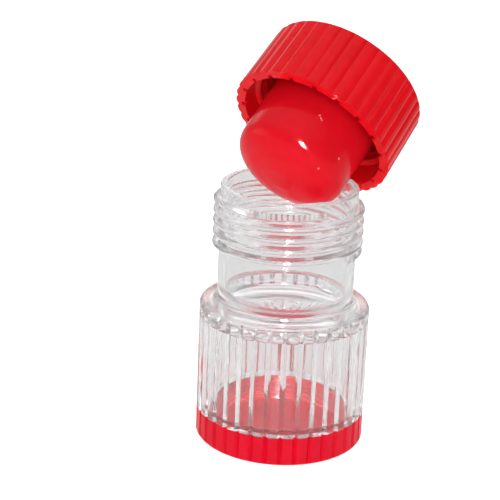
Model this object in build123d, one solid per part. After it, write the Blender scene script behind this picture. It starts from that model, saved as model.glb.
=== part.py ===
from build123d import *
from math import cos, sin, radians
import os

# Pill crusher with a storage base, in millimetres, +Z up.
# The origin is the centre of the base cap's underside. The red cap lies propped on the open mouth.

# How far a cutting outline passes the surface it trims
overcut = 0.1

# How far a thread's foot reaches into its wall, and the share of its height that is rounded
thread_sink = 0.35
thread_round_share = 0.45

# Ribs that run up the barrel, the base cap and the screw cap, with V-shaped grooves between them.
# A rib's flat share is the part of its pitch that lies on the full radius.
# Its bulge is how far the middle of its side stands out of a straight flank, as a share of its depth.
body_radius = 25.0
flute_count = 36
flute_pitch = 360.0 / flute_count
body_flute_depth = 0.95
body_flat_share = 0.6
body_rib_bulge = 0.06
body_flute_phase = 6.6
cap_flute_depth = 0.6
cap_flat_share = 0.15
cap_rib_bulge = 0.27
cap_flute_phase = 0.3

# Heights on the upright body
base_height = 8.66
seat_gap = 0.25
shoulder_z = 42.0
shoulder_round = 1.7
shoulder_rise = 0.35
shoulder_foot_reach = 1.7
shoulder_foot_slope = 0.2
neck_foot_z = 44.1
rim_z = 77.5
rim_round = 0.8

# Base cap
base_floor = 1.6
base_bore = 22.6
base_edge_round = 1.5
base_recess = (6.0, 19.0, 0.4)

# Screw thread between the barrel's spigot and the base cap
base_pitch = 1.6
spigot_radius = 21.4
spigot_crest = 22.3
spigot_bore = 19.9
base_thread_crest = 21.75
base_thread_root_width = 0.75
base_thread_tip_width = 0.45
base_thread_start = 20.0
base_thread_low = base_floor + 1.3
base_thread_high = base_height - 1.0

# The base cap's ridge starts half a pitch above the spigot's, so the two lie in each other's grooves
base_cap_thread_low = base_thread_low + base_pitch / 2
base_cap_thread_high = base_thread_high + base_pitch / 4

# Storage barrel
barrel_bore = 21.5
barrel_top_z = 38.0
spigot_foot_z = base_floor + 0.3
bore_cone_z = 10.5

# Crushing cup
flange_low_z = barrel_top_z + seat_gap
plug_radius = 21.2
plug_low_z = 37.2
neck_radius = 20.0
neck_bore = 17.8
dish_z = 39.7
dish_height = 8.6
dish_power = 2.56
neck_pitch = 3.25
neck_crest = 21.9
neck_thread_start = -30.0
neck_thread_turns = 4.92
neck_thread_high = 74.0
neck_thread_fade = 1.6
neck_thread_overrun = 0.6
neck_thread_root_width = 2.6
neck_thread_tip_width = 1.65

# Screw cap, in its own frame: z = 0 is the lip and +z points to the closed top
cap_height = 21.4
cap_top_radius = 24.46
cap_bore = 22.1
cap_plate = 2.4
cap_edge_round = 1.3
cap_thread_crest = 20.5
cap_thread_low = 6.5
cap_thread_high = 14.5
cap_thread_root_width = 1.7
cap_thread_tip_width = 1.0
cap_recess_radius = 20.5
cap_recess_depth = 0.5
gate_radius = 1.1
gate_height = 0.25
boss_radius = 14.5
boss_wall = 1.8
boss_length = 7.0
lip_notch_count = 19
lip_notch_phase = 131.3
lip_notch_width = 1.5
lip_notch_depth = 1.2
lip_notch_height = 1.2

# Pestle, in the cap's frame
pestle_radius = 16.65
pestle_root_radius = 16.95
pestle_straight = 10.26
dome_height = 8.16
dome_power = 2.56
pestle_wall = 1.75
turning_gap = 0.3
mould_line = 0.12
mould_step = 0.04

# Where the propped cap lies: its lip centre, its lean from upright and the lean's direction
cap_lip_centre = (5.3, 6.35, 91.23)
cap_lean = 53.6
cap_lean_direction = 55.3


def polar(radius, angle):
    return (radius * cos(radians(angle)), radius * sin(radians(angle)))


def arc_about(centre, radius, start_angle, end_angle):
    points = []
    for angle in (start_angle, (start_angle + end_angle) / 2, end_angle):
        across, up = polar(radius, angle)
        points.append((centre[0] + across, centre[1] + up))
    return ThreePointArc(*points)


def fluted_outline(radius, depth, phase, flat_share, bulge):
    """A ring of flat-topped ribs whose sides meet in narrow grooves."""
    half = flute_pitch / 2
    flat = half * flat_share
    side = (flat + half) / 2
    side_radius = radius - depth * (0.5 - bulge)
    arcs = []
    for rib in range(flute_count):
        middle = phase + rib * flute_pitch
        low_groove = polar(radius - depth, middle - half)
        low_flat = polar(radius, middle - flat)
        high_flat = polar(radius, middle + flat)
        high_groove = polar(radius - depth, middle + half)
        arcs.append(ThreePointArc(low_groove, polar(side_radius, middle - side), low_flat))
        arcs.append(ThreePointArc(low_flat, polar(radius, middle), high_flat))
        arcs.append(ThreePointArc(high_flat, polar(side_radius, middle + side), high_groove))
    return make_face(arcs)


def fluted_prism(low_z, high_z):
    outline = fluted_outline(
        body_radius, body_flute_depth, body_flute_phase, body_flat_share, body_rib_bulge
    )
    return extrude(Pos(0, 0, low_z) * outline, high_z - low_z)


def turned(*edges):
    """Revolve a closed outline in the (radius, height) half-plane about Z."""
    return revolve(Plane.XZ * make_face(edges), Axis.Z)


def ring(inner, outer, low_z, high_z):
    tube = Pos(0, 0, low_z) * Cylinder(outer, high_z - low_z, align=(Align.CENTER, Align.CENTER, Align.MIN))
    if inner > 0:
        bore = Cylinder(inner, high_z - low_z, align=(Align.CENTER, Align.CENTER, Align.MIN))
        tube -= Pos(0, 0, low_z) * bore
    return tube


def superellipse(radius, height, power, count=8):
    """Points from the rim of a flattened dome (radius, 0) down to its tip (0, -height)."""
    points = []
    for step in range(count + 1):
        turn = radians(90.0 * step / count)
        across = radius * cos(turn) ** (2 / power)
        down = height * sin(turn) ** (2 / power)
        points.append((max(across, 0.0), -down))
    points[-1] = (0.0, -height)
    return points


def dome_curve(radius, height, power, rim_at):
    points = [(across, rim_at + drop) for across, drop in superellipse(radius, height, power)]
    return Spline(*points, tangents=((0, -1), (-1, 0)))


def thread(root_radius, crest_radius, pitch, start_angle, low_z, high_z, root_width, tip_width):
    """One right-hand helical ridge, outward or inward, sunk a little into its wall."""
    rise = crest_radius - root_radius
    sink = thread_sink if rise > 0 else -thread_sink
    slope = (root_width - tip_width) / (rise * (1 - thread_round_share))
    foot_width = root_width + slope * sink
    path = Helix(pitch, high_z - low_z, root_radius)
    bend_radius = crest_radius - rise * thread_round_share
    low_foot = (root_radius - sink, -foot_width / 2)
    low_bend = (bend_radius, -tip_width / 2)
    high_bend = (bend_radius, tip_width / 2)
    high_foot = (root_radius - sink, foot_width / 2)
    outline = [
        Line(low_foot, low_bend),
        ThreePointArc(low_bend, (crest_radius, 0), high_bend),
        Line(high_bend, high_foot),
        Line(high_foot, low_foot),
    ]
    profile = Plane.XZ * make_face(outline)
    return Pos(0, 0, low_z) * Rot(0, 0, start_angle) * sweep(profile, path, is_frenet=True)


def base_cap():
    """Red fluted cup that closes the storage barrel from below."""
    blank = fluted_prism(0, base_height)
    side = body_radius + overcut
    low_round = turned(
        Line((0, 0), (side - base_edge_round, 0)),
        arc_about((side - base_edge_round, base_edge_round), base_edge_round, -90, 0),
        Line((side, base_edge_round), (side, base_height)),
        Line((side, base_height), (0, base_height)),
        Line((0, base_height), (0, 0)),
    )
    cup = blank & low_round
    cup -= ring(0, base_bore, base_floor, base_height)
    recess_inner, recess_outer, recess_depth = base_recess
    cup -= ring(recess_inner, recess_outer, 0, recess_depth)
    cup += thread(
        base_bore,
        base_thread_crest,
        base_pitch,
        base_thread_start,
        base_cap_thread_low,
        base_cap_thread_high,
        base_thread_root_width,
        base_thread_tip_width,
    )
    return cup


def storage_barrel():
    """Clear fluted tube with a threaded spigot below."""
    barrel = fluted_prism(base_height + seat_gap, barrel_top_z)
    barrel += ring(0, spigot_radius, spigot_foot_z, base_height + seat_gap)
    bore = turned(
        Polyline(
            (0, 0),
            (spigot_bore, 0),
            (spigot_bore, base_height),
            (barrel_bore, bore_cone_z),
            (barrel_bore, barrel_top_z + overcut),
            (0, barrel_top_z + overcut),
            close=True,
        )
    )
    barrel -= bore
    barrel += thread(
        spigot_radius,
        spigot_crest,
        base_pitch,
        base_thread_start,
        base_thread_low,
        base_thread_high,
        base_thread_root_width,
        base_thread_tip_width,
    )
    return barrel


def crushing_cup():
    """Clear threaded neck with a dished floor, on a fluted flange that plugs into the barrel."""
    side = body_radius + overcut
    flat_end = side - shoulder_round
    foot_start = neck_radius + shoulder_foot_reach
    envelope = turned(
        Line((0, flange_low_z), (side, flange_low_z)),
        Line((side, flange_low_z), (side, shoulder_z - shoulder_round)),
        arc_about((flat_end, shoulder_z - shoulder_round), shoulder_round, 0, 90),
        Line((flat_end, shoulder_z), (foot_start, shoulder_z + shoulder_rise)),
        Spline(
            (foot_start, shoulder_z + shoulder_rise),
            (neck_radius, neck_foot_z),
            tangents=((-1, shoulder_foot_slope), (0, 1)),
        ),
        Line((neck_radius, neck_foot_z), (0, neck_foot_z)),
        Line((0, neck_foot_z), (0, flange_low_z)),
    )
    outside = fluted_prism(flange_low_z, neck_foot_z) & envelope
    outside += ring(0, plug_radius, plug_low_z, flange_low_z)
    outside += ring(0, neck_radius, neck_foot_z, rim_z)
    dish_rim = dish_z + dish_height
    inside = turned(
        dome_curve(neck_bore, dish_height, dish_power, dish_rim),
        Line((neck_bore, dish_rim), (neck_bore, rim_z + overcut)),
        Line((neck_bore, rim_z + overcut), (0, rim_z + overcut)),
        Line((0, rim_z + overcut), (0, dish_z)),
    )
    cup = outside - inside
    rim_edges = cup.edges().filter_by(GeomType.CIRCLE).group_by(Axis.Z)[-1]
    cup = fillet(rim_edges, rim_round)
    thread_low = neck_thread_high - neck_thread_turns * neck_pitch
    ridge = thread(
        neck_radius,
        neck_crest,
        neck_pitch,
        neck_thread_start,
        thread_low,
        neck_thread_high,
        neck_thread_root_width,
        neck_thread_tip_width,
    )
    fade_low = thread_low - neck_thread_overrun
    fade_high = neck_thread_high + neck_thread_overrun
    crest = neck_crest + overcut
    fade = turned(
        Polyline(
            (0, fade_low),
            (neck_radius, fade_low),
            (crest, fade_low + neck_thread_fade),
            (crest, fade_high - neck_thread_fade),
            (neck_radius, fade_high),
            (0, fade_high),
            close=True,
        )
    )
    return cup + (ridge & fade)


def screw_cap():
    """Red fluted cap with an internal thread, a notched lip and a boss for the pestle."""
    ribs = (cap_flute_depth, cap_flute_phase, cap_flat_share, cap_rib_bulge)
    low = fluted_outline(body_radius, *ribs)
    high = fluted_outline(cap_top_radius, *ribs)
    shell = loft([low, Pos(0, 0, cap_height) * high], ruled=True)
    low_side = body_radius + overcut
    high_side = cap_top_radius + overcut
    round_z = cap_height - cap_edge_round
    top_round = turned(
        Line((0, -overcut), (low_side, -overcut)),
        Line((low_side, -overcut), (high_side, round_z)),
        arc_about((high_side - cap_edge_round, round_z), cap_edge_round, 0, 90),
        Line((high_side - cap_edge_round, cap_height), (0, cap_height)),
        Line((0, cap_height), (0, -overcut)),
    )
    shell &= top_round
    shell -= ring(gate_radius, cap_recess_radius, cap_height - cap_recess_depth, cap_height)
    shell -= ring(0, cap_recess_radius, cap_height - cap_recess_depth + gate_height, cap_height)
    ceiling = cap_height - cap_plate
    shell -= ring(0, cap_bore, 0, ceiling)
    shell += ring(boss_radius - boss_wall, boss_radius, ceiling - boss_length, ceiling)
    for notch in range(lip_notch_count):
        turn = lip_notch_phase + notch * 360.0 / lip_notch_count
        cutter = Pos(cap_bore, 0, 0) * Box(2 * lip_notch_depth, lip_notch_width, 2 * lip_notch_height)
        shell -= Rot(0, 0, turn) * cutter
    shell += thread(
        cap_bore,
        cap_thread_crest,
        neck_pitch,
        0,
        cap_thread_low,
        cap_thread_high,
        cap_thread_root_width,
        cap_thread_tip_width,
    )
    return shell


def pestle():
    """Red hollow press with a flattened dome, held on the cap's boss."""
    top = cap_height - cap_plate - turning_gap
    dome_radius = pestle_radius - mould_step
    outside = turned(
        Line((0, top), (pestle_root_radius, top)),
        Line((pestle_root_radius, top), (pestle_radius, mould_line - pestle_straight)),
        Line((pestle_radius, mould_line - pestle_straight), (dome_radius, -pestle_straight)),
        dome_curve(dome_radius, dome_height, dome_power, -pestle_straight),
        Line((0, -pestle_straight - dome_height), (0, top)),
    )
    inner_radius = boss_radius + turning_gap
    inside = turned(
        Line((0, top + overcut), (inner_radius, top + overcut)),
        Line((inner_radius, top + overcut), (inner_radius, -pestle_straight)),
        dome_curve(inner_radius, dome_height - pestle_wall, dome_power, -pestle_straight),
        Line((0, -pestle_straight - dome_height + pestle_wall), (0, top + overcut)),
    )
    return outside - inside


def propped(solid):
    """Lay a solid of the cap's frame on the mouth of the neck."""
    lean = radians(cap_lean)
    turn = radians(cap_lean_direction)
    axis = (sin(lean) * cos(turn), sin(lean) * sin(turn), cos(lean))
    sideways = (-sin(turn), cos(turn), 0)
    return Plane(origin=cap_lip_centre, x_dir=sideways, z_dir=axis) * solid


nodes = {
    "base_cap": base_cap(),
    "storage_barrel": storage_barrel(),
    "crushing_cup": crushing_cup(),
    "pestle": propped(pestle()),
    "screw_cap": propped(screw_cap()),
}

os.makedirs("parts", exist_ok=True)
for name, shape in nodes.items():
    solids = shape.solids()
    if len(solids) != 1:
        print(name, "has", len(solids), "solids")
    part = solids[0] if len(solids) == 1 else Compound(children=list(solids))
    part.label = name
    export_step(part, f"parts/{name}.step")
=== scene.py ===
"""Looks for the pill crusher: materials, floor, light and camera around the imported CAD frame.

Lengths are in metres. Texture coordinates are the object's own, multiplied up to millimetres.
"""
from math import cos, radians, sin

import bpy
from mathutils import Matrix, Vector


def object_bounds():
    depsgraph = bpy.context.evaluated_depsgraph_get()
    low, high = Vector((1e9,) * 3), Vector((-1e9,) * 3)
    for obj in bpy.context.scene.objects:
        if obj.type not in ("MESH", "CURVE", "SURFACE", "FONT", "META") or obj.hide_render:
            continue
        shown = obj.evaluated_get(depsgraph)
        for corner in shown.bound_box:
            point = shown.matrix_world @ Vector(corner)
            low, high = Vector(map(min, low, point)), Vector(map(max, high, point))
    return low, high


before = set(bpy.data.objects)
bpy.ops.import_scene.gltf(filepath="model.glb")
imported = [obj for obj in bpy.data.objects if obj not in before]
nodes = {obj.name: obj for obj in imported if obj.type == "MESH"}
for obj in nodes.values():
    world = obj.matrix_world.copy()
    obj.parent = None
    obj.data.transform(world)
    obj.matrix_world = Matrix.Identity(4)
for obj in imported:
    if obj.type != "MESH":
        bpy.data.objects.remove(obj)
cad_low, cad_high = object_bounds()

# Camera: it aims at a point on the body's axis, then turns a little for the framing.
AIM_HEIGHT = 0.040
CAMERA_DISTANCE = 0.4772
CAMERA_ELEVATION = radians(20.98)
CAMERA_YAW = radians(1.31)
CAMERA_PITCH = radians(1.92)
CAMERA_ROLL = radians(-2.83)
LENS_MM = 116.55
SENSOR_MM = 36.0

# Floor: how wide it reaches, how far below the part it lies, and its paint
FLOOR_HALF_WIDTH = 2.0
FLOOR_DROP = 0.0002
FLOOR_TONES = (0.80, 0.83)
FLOOR_ROUGHNESS = 0.9

# Floor glow: extra for rays from the camera, extra for diffuse rays, and the share that every ray gets
GLOW_SEEN = 0.67
GLOW_LIT = 0.30
GLOW_ALWAYS = 0.13

# Studio, as world strength. The right share scales down the walls on the right.
WALL_FRONT_TO_BACK = (0.38, 0.48)
WALL_LEFT = 1.6
WALL_RIGHT_SHARE = 0.45
CEILING = 0.7
BACKLIGHT = 0.9

# Lamps: both stand in front, a little to the right, and aim at one point on the body's axis
LAMP_AIM = (0, 0, 0.06)
LAMP_WIDTH = 0.08
FLASH_PLACE = (0.02, -0.46, 0.28)
FLASH_HEIGHT = 0.25
FLASH_WATTS = 0.95
GLINT_PLACE = (0.005, -0.46, 0.235)
GLINT_HEIGHT = 0.16
GLINT_WATTS = 22.0

# Light bounces: a ray crosses many walls and threads of the clear parts
CLEAR_BOUNCES = 48

# Plastic. A stretch squeezes a texture's coordinates along Z, which draws its marks out up and down.
PLASTIC_IOR = 1.5
GLOSS_SPREAD = 0.07
FLOW_STRETCH = (1, 1, 0.15)
FLOW_SHARE = 0.3
SPECK_STRENGTH = 0.5
CLEAR_TRANSMISSION = 0.96
CLEAR_WAVE_MM = 0.05
RUB_STRETCH = (1, 1, 0.08)
CLOUDY_ROUGHNESS = 0.03
RUBBED_ROUGHNESS = 0.04

# Colours, linear
WHITE = (1, 1, 1, 1)
CAP_REDS = ((0.68, 0.004, 0.009, 1), (0.78, 0.006, 0.012, 1))
# Pestle red: the same plastic as the cap, darker as painted shade and with extra blue as painted bluish
# light from below
PESTLE_REDS_WITH_PAINTED_SHADE = ((0.66, 0.004, 0.012, 1), (0.74, 0.006, 0.016, 1))
# Base red: the same plastic as the cap, with extra blue as painted bluish light from below
BASE_REDS_WITH_PAINTED_BLUE_LIGHT = ((0.70, 0.004, 0.022, 1), (0.80, 0.007, 0.028, 1))
SPECK_PINK = (0.95, 0.45, 0.45, 1)
CLEAR_TINT = (0.93, 0.94, 0.945, 1)
CLEAR_PALE = (0.96, 0.965, 0.97, 1)
LAMPS_THROUGH_CLEAR = (0.97, 0.97, 0.97, 1)


def add_camera():
    forward = Vector((0, cos(CAMERA_ELEVATION), -sin(CAMERA_ELEVATION)))
    right = Vector((1, 0, 0))
    up = right.cross(forward)
    place = Vector((0, 0, AIM_HEIGHT)) - forward * CAMERA_DISTANCE
    yaw = Matrix.Rotation(CAMERA_YAW, 3, up)
    forward, right = yaw @ forward, yaw @ right
    pitch = Matrix.Rotation(CAMERA_PITCH, 3, right)
    forward, up = pitch @ forward, pitch @ up
    roll = Matrix.Rotation(CAMERA_ROLL, 3, forward)
    right, up = roll @ right, roll @ up
    data = bpy.data.cameras.new("camera")
    data.sensor_width = SENSOR_MM
    data.lens = LENS_MM
    data.clip_start = 0.01
    data.clip_end = 20
    camera = bpy.data.objects.new("camera", data)
    bpy.context.scene.collection.objects.link(camera)
    turn = Matrix((right, up, -forward)).transposed().to_4x4()
    camera.matrix_world = Matrix.Translation(place) @ turn
    bpy.context.scene.camera = camera


class Shader:
    """A node tree with short calls for adding and linking nodes."""

    def __init__(self, tree):
        self.tree = tree
        tree.nodes.clear()

    def add(self, kind, inputs=None, **settings):
        node = self.tree.nodes.new(kind)
        for key, value in settings.items():
            setattr(node, key, value)
        for key, value in (inputs or {}).items():
            self.put(node.inputs[key], value)
        return node

    def put(self, socket, value):
        if isinstance(value, bpy.types.NodeSocket):
            self.tree.links.new(value, socket)
        else:
            socket.default_value = value

    def math(self, operation, first, second):
        node = self.add("ShaderNodeMath", operation=operation)
        self.put(node.inputs[0], first)
        self.put(node.inputs[1], second)
        return node.outputs[0]

    def remap(self, value, low, high, to_low=0.0, to_high=1.0, smooth=False):
        node = self.add("ShaderNodeMapRange", clamp=True)
        if smooth:
            node.interpolation_type = "SMOOTHSTEP"
        for name, number in zip(("Value", "From Min", "From Max", "To Min", "To Max"),
                                (value, low, high, to_low, to_high)):
            self.put(node.inputs[name], number)
        return node.outputs["Result"]

    def mix(self, factor, first, second):
        node = self.add("ShaderNodeMix", data_type="RGBA")
        self.put(node.inputs["Factor"], factor)
        self.put(node.inputs[6], first)
        self.put(node.inputs[7], second)
        return node.outputs[2]

    def millimetres(self, stretch=(1, 1, 1), shift=(0, 0, 0)):
        place = self.add("ShaderNodeTexCoord").outputs["Object"]
        scale = tuple(1000 * s for s in stretch)
        return self.add("ShaderNodeMapping", {"Vector": place, "Scale": scale, "Location": shift}).outputs[0]

    def noise(self, vector, per_mm, detail=2.0, rough=0.5):
        made = self.add("ShaderNodeTexNoise",
                        {"Vector": vector, "Scale": per_mm, "Detail": detail, "Roughness": rough})
        return made.outputs["Fac"]

    def specks(self, vector, per_mm, size, keep):
        """1 inside small round specks: size is in cells and keep is the share of cells that hold one."""
        cells = self.add("ShaderNodeTexVoronoi", {"Vector": vector, "Scale": per_mm, "Randomness": 1.0})
        near = self.math("LESS_THAN", cells.outputs["Distance"], size)
        pick = self.add("ShaderNodeSeparateColor", {"Color": cells.outputs["Color"]}).outputs[0]
        chosen = self.math("LESS_THAN", pick, keep)
        return self.math("MULTIPLY", near, chosen)

    def bump(self, height, distance_mm, strength=1.0, under=None):
        node = self.add("ShaderNodeBump",
                        {"Height": height, "Distance": distance_mm / 1000, "Strength": strength})
        if under is not None:
            self.put(node.inputs["Normal"], under)
        return node.outputs[0]


def new_material(name):
    material = bpy.data.materials.new(name)
    material.use_nodes = True
    return material, Shader(material.node_tree)


def output(shader, closure):
    shader.add("ShaderNodeOutputMaterial", {"Surface": closure})


def red_plastic(name, reds, gloss, level, shift):
    """Glossy moulded red plastic with a faint orange peel, colour drift and a few small pale pink specks.

    Gloss is the lowest roughness, level is the specular level, and shift moves the textures in millimetres.
    """
    material, shader = new_material(name)
    mm = shader.millimetres(shift=shift)
    drift = shader.noise(mm, per_mm=0.06, detail=3.0)
    flow = shader.noise(shader.millimetres(FLOW_STRETCH, shift), per_mm=0.35)
    drift_part = shader.math("MULTIPLY", drift, 1 - FLOW_SHARE)
    flow_part = shader.math("MULTIPLY", flow, FLOW_SHARE)
    blend = shader.math("ADD", drift_part, flow_part)
    colour = shader.mix(shader.remap(blend, 0.35, 0.65), *reds)
    # A few small pale pink specks, mixed into the colour
    pale_specks = shader.specks(mm, per_mm=0.16, size=0.055, keep=0.22)
    colour = shader.mix(shader.math("MULTIPLY", pale_specks, SPECK_STRENGTH), colour, SPECK_PINK)
    haze = shader.noise(mm, per_mm=0.9, detail=4.0, rough=0.6)
    rough = shader.remap(haze, 0.3, 0.7, gloss, gloss + GLOSS_SPREAD)
    peel = shader.bump(shader.noise(mm, per_mm=0.45, detail=1.0), distance_mm=0.02, strength=0.5)
    grain = shader.bump(shader.noise(mm, per_mm=6.0), distance_mm=0.002, strength=0.5, under=peel)
    surface = shader.add("ShaderNodeBsdfPrincipled", {
        "Base Color": colour,
        "Roughness": rough,
        "Normal": grain,
        "IOR": PLASTIC_IOR,
        "Specular IOR Level": level,
    })
    output(shader, surface.outputs[0])
    return material


def clear_plastic(name, shift):
    """Clear moulded plastic with slight flow waves and fine rub marks.

    Lamp and diffuse rays go straight through, so that the red parts inside stay lit.
    """
    material, shader = new_material(name)
    mm = shader.millimetres(shift=shift)
    haze = shader.noise(mm, per_mm=0.25, detail=4.0, rough=0.6)
    marks = shader.noise(shader.millimetres(RUB_STRETCH, shift), per_mm=3.0, detail=3.0, rough=0.7)
    cloudy = shader.remap(haze, 0.4, 0.75, 0.0, CLOUDY_ROUGHNESS)
    rubbed = shader.remap(marks, 0.6, 0.8, 0.0, RUBBED_ROUGHNESS)
    rough = shader.math("ADD", cloudy, rubbed)
    tint = shader.mix(shader.remap(haze, 0.3, 0.7), CLEAR_TINT, CLEAR_PALE)
    wave = shader.bump(shader.noise(mm, per_mm=0.12, detail=1.0), distance_mm=CLEAR_WAVE_MM)
    surface = shader.add("ShaderNodeBsdfPrincipled", {
        "Base Color": tint,
        "Roughness": rough,
        "Normal": wave,
        "IOR": PLASTIC_IOR,
        "Transmission Weight": CLEAR_TRANSMISSION,
    })
    lamps = shader.add("ShaderNodeBsdfTransparent", {"Color": LAMPS_THROUGH_CLEAR})
    path = shader.add("ShaderNodeLightPath")
    closure = surface.outputs[0]
    for ray in ("Is Shadow Ray", "Is Diffuse Ray"):
        mixed = shader.add("ShaderNodeMixShader", {"Fac": path.outputs[ray]})
        shader.put(mixed.inputs[1], closure)
        shader.put(mixed.inputs[2], lamps.outputs[0])
        closure = mixed.outputs[0]
    output(shader, closure)
    return material


def floor_material():
    """Pale tabletop that burns out to white round the part and reads as light grey through it."""
    material, shader = new_material("floor")
    mm = shader.millimetres()
    tone = shader.remap(shader.noise(mm, per_mm=0.02, detail=3.0), 0.3, 0.7, *FLOOR_TONES)
    colour = shader.add("ShaderNodeCombineColor", {"Red": tone, "Green": tone, "Blue": tone}).outputs[0]
    path = shader.add("ShaderNodeLightPath")
    seen = shader.math("MULTIPLY", path.outputs["Is Camera Ray"], GLOW_SEEN)
    lit = shader.math("MULTIPLY", path.outputs["Is Diffuse Ray"], GLOW_LIT)
    glow = shader.math("ADD", shader.math("ADD", seen, lit), GLOW_ALWAYS)
    surface = shader.add("ShaderNodeBsdfPrincipled", {
        "Base Color": colour,
        "Roughness": FLOOR_ROUGHNESS,
        "Emission Color": WHITE,
        "Emission Strength": glow,
        "Specular IOR Level": 0.0,
    })
    output(shader, surface.outputs[0])
    return material


def add_floor():
    half = FLOOR_HALF_WIDTH
    height = cad_low.z - FLOOR_DROP
    mesh = bpy.data.meshes.new("floor")
    corners = [(-half, -half), (half, -half), (half, half), (-half, half)]
    mesh.from_pydata([(x, y, height) for x, y in corners], [], [(0, 1, 2, 3)])
    floor = bpy.data.objects.new("floor", mesh)
    floor.data.materials.append(floor_material())
    bpy.context.scene.collection.objects.link(floor)


def add_lamp(name, place, height, watts):
    data = bpy.data.lights.new(name, "AREA")
    data.shape = "RECTANGLE"
    data.size = LAMP_WIDTH
    data.size_y = height
    data.energy = watts
    light = bpy.data.objects.new(name, data)
    light.location = place
    light.rotation_euler = (Vector(LAMP_AIM) - Vector(place)).to_track_quat("-Z", "Y").to_euler()
    bpy.context.scene.collection.objects.link(light)
    return light


def add_world():
    """A pale studio that is bright behind, low in the sky and to the left, and dim in front."""
    world = bpy.data.worlds.new("studio")
    world.use_nodes = True
    bpy.context.scene.world = world
    shader = Shader(world.node_tree)
    direction = shader.add("ShaderNodeTexCoord").outputs["Generated"]
    parts = shader.add("ShaderNodeSeparateXYZ", {"Vector": direction})
    # The direction is a unit vector, so each range below is in cosines of the angle from an axis
    across, along, up = (parts.outputs[axis] for axis in "XYZ")
    behind = shader.remap(along, -0.4, 0.7, *WALL_FRONT_TO_BACK, smooth=True)
    left = shader.remap(across, -1.0, -0.88, WALL_LEFT, 0.0, smooth=True)
    right = shader.remap(across, 0.2, 0.8, 1.0, WALL_RIGHT_SHARE, smooth=True)
    above = shader.remap(up, 0.5, 1.0, 0.0, CEILING, smooth=True)
    band_start = shader.remap(up, 0.1, 0.3, smooth=True)
    band_end = shader.remap(up, 0.45, 0.6, 1.0, 0.0, smooth=True)
    back = shader.remap(along, 0.6, 0.85, 0.0, BACKLIGHT, smooth=True)
    backlight = shader.math("MULTIPLY", shader.math("MULTIPLY", band_start, band_end), back)
    sides = shader.math("MULTIPLY", shader.math("ADD", behind, left), right)
    seen = shader.add("ShaderNodeLightPath").outputs["Is Camera Ray"]
    strength = shader.math("ADD", shader.math("ADD", sides, above), shader.math("ADD", backlight, seen))
    background = shader.add("ShaderNodeBackground", {"Color": WHITE, "Strength": strength})
    shader.add("ShaderNodeOutputWorld", {"Surface": background.outputs[0]})


def dress(node, material):
    mesh = nodes[node].data
    mesh.materials.clear()
    mesh.materials.append(material)


add_camera()
add_world()
add_floor()
add_lamp("flash", FLASH_PLACE, FLASH_HEIGHT, FLASH_WATTS)
glint = add_lamp("glint", GLINT_PLACE, GLINT_HEIGHT, GLINT_WATTS)
glint.visible_diffuse = False

# The base's and pestle's reds hold painted light: extra blue for light from below, and a darker pestle as
# painted shade
dress("base_cap", red_plastic("red_plastic", BASE_REDS_WITH_PAINTED_BLUE_LIGHT, gloss=0.12, level=0.12, shift=(0, 0, 0)))
dress("screw_cap", red_plastic("cap_red", CAP_REDS, gloss=0.08, level=0.12, shift=(40, 0, 10)))
dress("pestle", red_plastic("pestle_red", PESTLE_REDS_WITH_PAINTED_SHADE, gloss=0.06, level=0.10, shift=(0, 70, 20)))
dress("storage_barrel", clear_plastic("clear_barrel", shift=(0, 0, 0)))
dress("crushing_cup", clear_plastic("clear_cup", shift=(30, 0, 0)))

scene = bpy.context.scene
scene.view_settings.view_transform = "Standard"
scene.cycles.max_bounces = CLEAR_BOUNCES
scene.cycles.transmission_bounces = CLEAR_BOUNCES
scene.cycles.glossy_bounces = CLEAR_BOUNCES
scene.cycles.caustics_refractive = False
